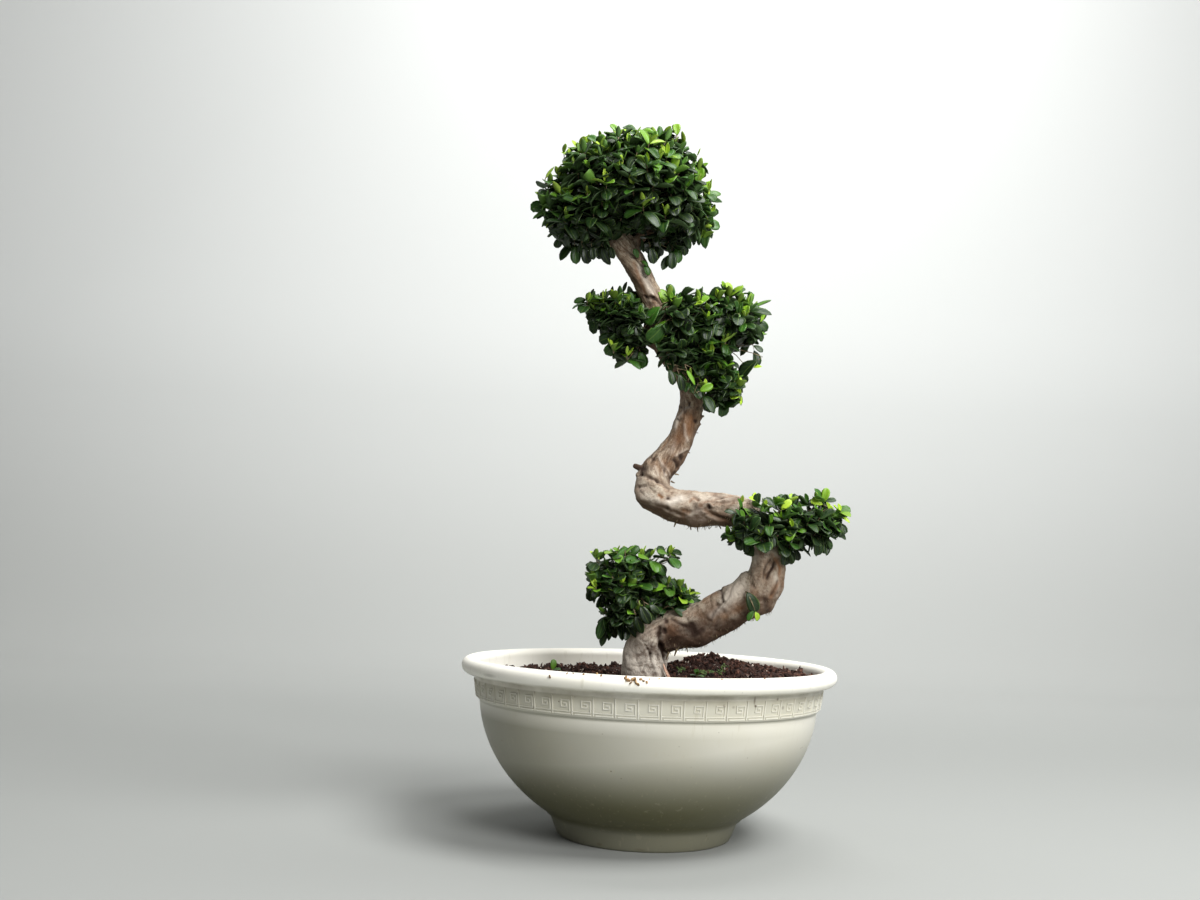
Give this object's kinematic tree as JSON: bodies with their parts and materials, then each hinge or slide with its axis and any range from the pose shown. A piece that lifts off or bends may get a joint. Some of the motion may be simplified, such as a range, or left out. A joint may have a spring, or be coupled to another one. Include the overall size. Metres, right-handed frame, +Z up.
{
  "type": "potted ficus bonsai",
  "caption": "S-curved ficus bonsai with clipped heads of small round leaves, standing in bark soil in a round bowl planter with a rolled rim and a key-pattern band.",
  "frame": {"origin": "On the ground, under the middle of the pot: the pot's own axis at the underside of its foot ring.", "axes": "+Z up along the pot's axis. The front, as the plant is shown, looks along -Y. +X is to the right seen from the front."},
  "size_m": [0.5, 0.5, 0.9638],
  "materials": {
    "pot": "satin",
    "soil": "matte",
    "bark": "matte",
    "leaves": "satin",
    "young_leaves": "satin"
  },
  "bodies": {
    "root": {"pot": "pot", "soil": "soil", "trunk": "bark", "foliage_top": "leaves", "foliage_middle_left": "leaves", "foliage_middle_right": "leaves", "foliage_right": "leaves", "foliage_lower_left": "leaves", "sprig_bend": "young_leaves", "sprig_upper_trunk": "young_leaves", "seedling": "young_leaves", "weed": "young_leaves"}
  },
  "joints": []
}
